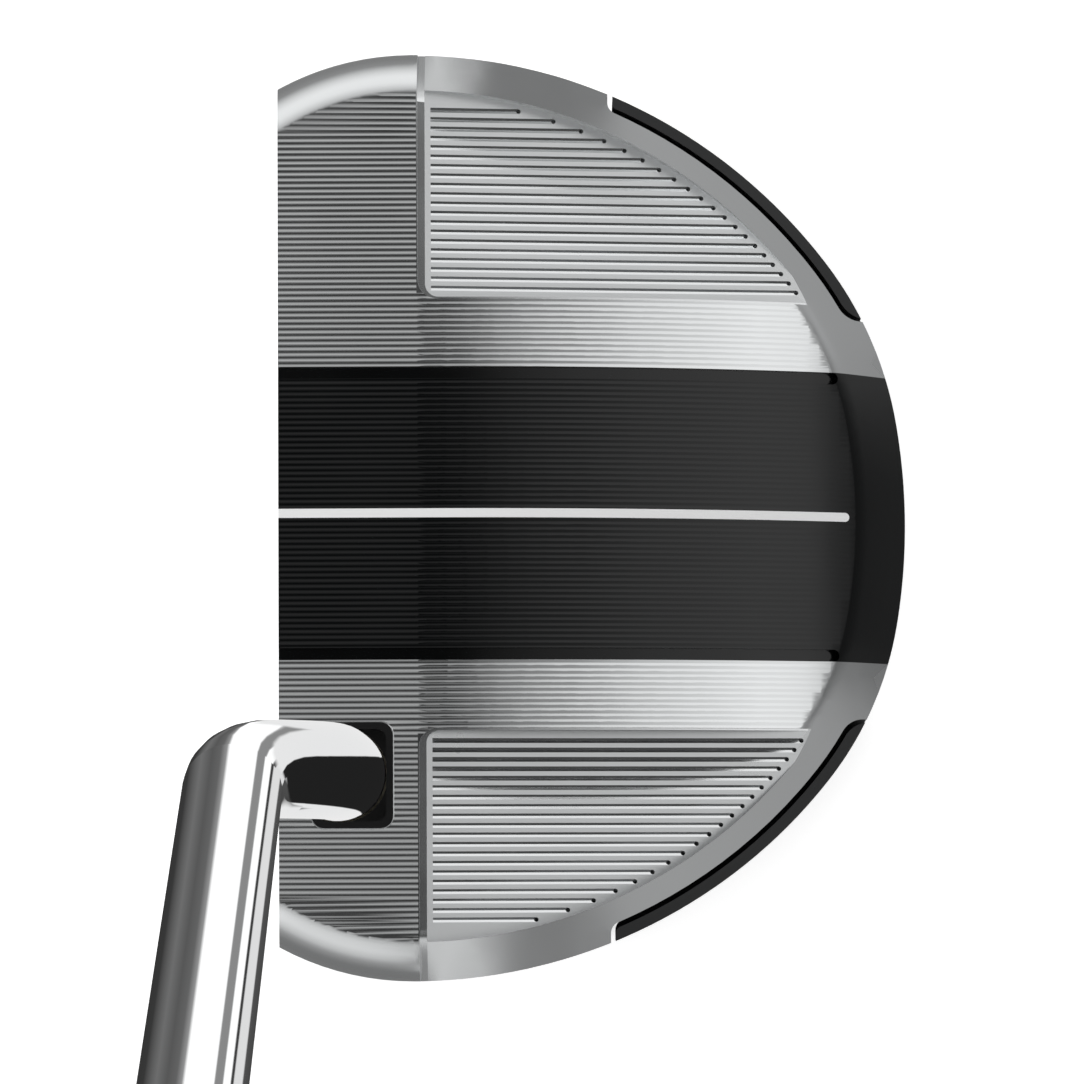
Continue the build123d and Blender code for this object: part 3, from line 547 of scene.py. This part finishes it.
def crown_z(y):
    """Height of the crown at this Y: flat at the front, then one large arc down to the rear."""
    run = max(0.0, y - FACE_TOP_Y - CROWN_FLAT_BACK)
    return HEAD_HIGH.z - CROWN_R + (CROWN_R**2 - run**2) ** 0.5


def scallop(step):
    """Depth of a scallop at this step across it: nothing at its edges and full in the middle."""
    place = 2 * (step % MILL_STEPS) / MILL_STEPS - 1
    return MILL_DEPTH * (1 - place * place)


def steps_to(start, end, size):
    """Places from start to end, evenly spaced at about this size."""
    count = max(1, round((end - start) / size))
    return [start + (end - start) * i / count for i in range(count + 1)]


def make_mill_cutter():
    """What the cutter takes off the crown: a T of scallops over the face block and the bridge."""
    stride = MILL_PITCH / MILL_STEPS
    half_count = int((HEAD_HIGH.x + MM) / MILL_PITCH) * MILL_STEPS
    columns = range(-half_count, half_count + 1)
    seam = FACE_TOP_Y + SEAM_BACK - MILL_SEAM_LAND
    front = [HEAD_LOW.y - MM, seam]
    rows = front + steps_to(seam, HEAD_HIGH.y + MM, CUTTER_ROW)[1:]
    made = bmesh.new()
    grid = []
    for y in rows:
        grid.append(
            [made.verts.new((i * stride, y, crown_z(y) - scallop(i))) for i in columns]
        )
    reach = BRIDGE_HALF + MILL_PITCH
    for j in range(len(rows) - 1):
        for i in range(len(columns) - 1):
            if j == 0 or abs(columns[i] + 0.5) * stride < reach:
                made.faces.new((grid[j][i], grid[j + 1][i], grid[j + 1][i + 1], grid[j][i + 1]))
    loose = [vert for vert in made.verts if not vert.link_faces]
    bmesh.ops.delete(made, geom=loose, context="VERTS")
    lid = bmesh.ops.extrude_face_region(made, geom=made.faces[:])
    risen = [item for item in lid["geom"] if isinstance(item, bmesh.types.BMVert)]
    for vert in risen:
        vert.co.z += CUTTER_TALL
    bmesh.ops.recalc_face_normals(made, faces=made.faces)
    mesh = bpy.data.meshes.new("mill_cutter")
    made.to_mesh(mesh)
    made.free()
    cutter = bpy.data.objects.new("mill_cutter", mesh)
    bpy.context.scene.collection.objects.link(cutter)
    return cutter


def copy_of(node, name):
    """A welded copy of a CAD node's mesh as a new object."""
    made = bmesh.new()
    made.from_mesh(NODES[node].data)
    bmesh.ops.remove_doubles(made, verts=made.verts, dist=1e-7)
    mesh = bpy.data.meshes.new(name)
    made.to_mesh(mesh)
    made.free()
    piece = bpy.data.objects.new(name, mesh)
    bpy.context.scene.collection.objects.link(piece)
    return piece


def cut(piece, cutter):
    """Takes the cutter's solid off the piece."""
    change = piece.modifiers.new("cut", "BOOLEAN")
    change.operation = "DIFFERENCE"
    change.object = cutter
    change.solver = "MANIFOLD"
    apply_modifiers(piece)


def apply_modifiers(piece):
    """The piece's mesh becomes what its modifiers make of it."""
    graph = bpy.context.evaluated_depsgraph_get()
    mesh = bpy.data.meshes.new_from_object(piece.evaluated_get(graph))
    piece.modifiers.clear()
    old = piece.data
    piece.data = mesh
    bpy.data.meshes.remove(old)


def shade_smooth(mesh, angle):
    """Smooth shading with sharp edges wherever two faces meet at more than this angle."""
    made = bmesh.new()
    made.from_mesh(mesh)
    for face in made.faces:
        face.smooth = True
    for edge in made.edges:
        edge.smooth = len(edge.link_faces) == 2 and edge.calc_face_angle() < radians(angle)
    made.to_mesh(mesh)
    made.free()


def finish_piece(piece, node):
    """The piece takes the node's place and rides on its body."""
    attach(piece, "root")
    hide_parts(node)


def pocket_floor_z(y):
    """Height of the pockets' floors at this Y."""
    run = y - FACE_TOP_Y - SEAM_BACK
    return HEAD_HIGH.z - POCKET_DROP - run * tan(radians(POCKET_SLOPE))


def in_pocket(middle):
    """Whether a place lies in a wing, behind the face block and inside the ring."""
    behind_seam = middle.y > FACE_TOP_Y + SEAM_BACK
    in_wing = BRIDGE_HALF < abs(middle.x) < HEAD_HIGH.x - RING_WIDTH
    return behind_seam and in_wing


def is_sink_bottom(middle, normal):
    """Whether a face is the bottom of one of the round sinks at the grooves' ends, which gets dark
    grey painted shade.
    """
    floor_z = pocket_floor_z(middle.y)
    is_deeper = floor_z - SINK_END < middle.z < floor_z - SINK_START
    return is_deeper and normal.z > SINK_NORMAL_Z and in_pocket(middle)


def is_pocket_wall(middle, normal):
    """Whether an upright face is a wall of a pocket that the grooves mirror, which gets dark grey
    painted shade.
    """
    if middle.y < FACE_TOP_Y + SEAM_BACK - WALL_REACH or middle.z < HEAD_HIGH.z * WALL_LOW_SHARE:
        return False
    beside_bridge = abs(abs(middle.x) - BRIDGE_HALF) < WALL_REACH
    faces_toe = middle.x > BRIDGE_HALF and normal.x < -0.1
    return beside_bridge or faces_toe


def head_zone(middle, normal):
    """Which finish a face of the head has, by its middle and its normal. The sinks' bottoms and the
    pockets' upright walls get painted shade, a dark grey.
    """
    # The sinks' bottoms and the pockets' upright walls get the dark grey of painted shade.
    if is_sink_bottom(middle, normal):
        return "painted_shade"
    if normal.z < WALL_NORMAL_Z or middle.z < HEAD_HIGH.z * LOW_SHARE:
        return "painted_shade" if is_pocket_wall(middle, normal) else "side"
    is_level = normal.z > LEVEL_NORMAL_Z
    if middle.z > crown_z(middle.y) - 2 * MILL_DEPTH and is_level:
        return "milled"
    in_wing = middle.y > FACE_TOP_Y + SEAM_BACK and abs(middle.x) > BRIDGE_HALF
    if not in_wing or middle.z > crown_z(middle.y) - LEDGE_DROP * 1.5:
        return "ring"
    if abs(normal.x) > WALL_NORMAL_Z:
        return "groove"
    return "blasted" if normal.y < 0.5 and is_level else "ring"


def make_head(materials, cutter):
    """The head with its milled crown, one finish for each kind of face, and dark grey painted shade on
    the pockets' walls and the sinks' bottoms.
    """
    head = copy_of("head_body", "milled_head")
    cut(head, cutter)
    # The last zone is painted shade: dark grey on the pockets' upright walls and the sinks' bottoms.
    zones = ("side", "milled", "ring", "blasted", "groove", "painted_shade")
    head.data.materials.clear()
    for zone in zones:
        head.data.materials.append(materials[zone])
    for face in head.data.polygons:
        face.material_index = zones.index(head_zone(face.center, face.normal))
    shade_smooth(head.data, SMOOTH_ANGLE)
    finish_piece(head, "head_body")


def make_band(materials, cutter):
    """The centre band with its milled crown."""
    band = copy_of("centre_band", "milled_band")
    cut(band, cutter)
    band.data.materials.clear()
    band.data.materials.append(materials["anodised"])
    shade_smooth(band.data, SMOOTH_ANGLE)
    finish_piece(band, "centre_band")


# ---------------------------------------------------------------- grip


GRIP_ACROSS = Vector((0, -1, 0))
GRIP_THUMB = SHAFT_AXIS.cross(GRIP_ACROSS)


def grip_ray(step):
    """Angle and direction of this step round the grip."""
    angle = 2 * pi * step / GRIP_STEPS
    return angle, GRIP_ACROSS * cos(angle) + GRIP_THUMB * sin(angle)


def grip_pattern(place, length, angle):
    """How deep the moulded pattern is here: crossed grooves on the palm side, ribs under the thumb."""
    if place < GRIP_END_LAND or place > length - GRIP_END_LAND:
        in_ring = abs(place - GRIP_END_LAND * 0.5) < GRIP_RING_HALF
        return GRIP_RING_DEPTH if in_ring else 0.0
    if sin(angle) > THUMB_SIDE:
        in_rib = (place % RIB_PITCH) < RIB_WIDTH
        inside = abs(cos(angle)) < THUMB_HALF
        return GRIP_PATTERN_DEPTH if in_rib and inside else 0.0
    around = angle * CROSS_TURN
    first = (place + around) % CROSS_PITCH
    second = (place - around) % CROSS_PITCH
    return GRIP_PATTERN_DEPTH if min(first, second) < CROSS_WIDTH else 0.0


def make_grip(materials):
    """The rubber grip: its outer skin is measured from the CAD node and gets a moulded pattern."""
    made = bmesh.new()
    made.from_mesh(NODES["grip_sleeve"].data)
    skin = BVHTree.FromBMesh(made)
    made.free()
    points = [vert.co for vert in NODES["grip_tape"].data.vertices]
    middle = sum(points, Vector()) / len(points)
    places = [vert.co.dot(SHAFT_AXIS) for vert in NODES["grip_sleeve"].data.vertices]
    bottom, top = min(places), max(places)
    core = max((p - middle - SHAFT_AXIS * (p - middle).dot(SHAFT_AXIS)).length for p in points)
    start = middle - SHAFT_AXIS * middle.dot(SHAFT_AXIS)
    rows = steps_to(bottom + GRIP_END_GAP, top - GRIP_END_GAP, GRIP_ROW)
    mesh = bmesh.new()
    rings = []
    for place in rows:
        centre = start + SHAFT_AXIS * place
        ring = []
        for i in range(GRIP_STEPS):
            angle, ray = grip_ray(i)
            hit = skin.ray_cast(centre + ray * (core + GRIP_START_GAP), ray, GRIP_REACH)
            reach = (hit[0] - centre).length
            sunk = grip_pattern(place - bottom, top - bottom, angle)
            ring.append(mesh.verts.new(centre + ray * (reach - sunk)))
        rings.append(ring)
    bore = []
    for place in (rows[0], rows[-1]):
        centre = start + SHAFT_AXIS * place
        bore.append([mesh.verts.new(centre + grip_ray(i)[1] * core) for i in range(GRIP_STEPS)])
    loops = [bore[0]] + rings + [bore[1], bore[0]]
    for first, second in zip(loops, loops[1:]):
        for i in range(GRIP_STEPS):
            j = (i + 1) % GRIP_STEPS
            mesh.faces.new((first[i], first[j], second[j], second[i]))
    bmesh.ops.recalc_face_normals(mesh, faces=mesh.faces)
    data = bpy.data.meshes.new("moulded_grip")
    mesh.to_mesh(data)
    mesh.free()
    data.materials.append(materials["grip"])
    grip = bpy.data.objects.new("moulded_grip", data)
    bpy.context.scene.collection.objects.link(grip)
    shade_smooth(data, GRIP_SMOOTH_ANGLE)
    finish_piece(grip, "grip_sleeve")


# ---------------------------------------------------------------- the CAD nodes that are shown


def paint_nodes(materials):
    """The finish of every CAD node that is shown as it is."""
    finishes = {
        "alignment_line": "paint",
        "centre_band_bond": "bond",
        "heel_edge_strip": "rubber",
        "toe_edge_strip": "rubber",
        "face_insert": "insert",
        "face_insert_tape": "tape",
        "shaft_collar": "polymer",
        "shaft_bond": "bond",
        "shaft_tube": "chrome",
        "shaft_tip_plug": "polymer",
        "grip_tape": "tape",
        "grip_end_cap": "cap",
        "sole_plate": "plate",
        "sole_plate_screws": "screw",
        "damping_block": "damper",
        "balance_bar": "steel",
        "toe_weight": "steel",
        "heel_weight": "steel",
        "weight_seals": "rubber",
    }
    for node, finish in finishes.items():
        mesh = NODES[node].data
        mesh.materials.clear()
        mesh.materials.append(materials[finish])
    # The head does not mirror the shaft, since its image would hide the milled lines.
    NODES["shaft_tube"].visible_glossy = False


def build():
    """The whole scene."""
    scene = bpy.context.scene
    scene.view_settings.view_transform = "Standard"
    make_camera()
    make_floor()
    make_world()
    make_shaft_card()
    materials = make_materials()
    cutter = make_mill_cutter()
    make_head(materials, cutter)
    make_band(materials, cutter)
    bpy.data.objects.remove(cutter)
    make_grip(materials)
    paint_nodes(materials)


build()
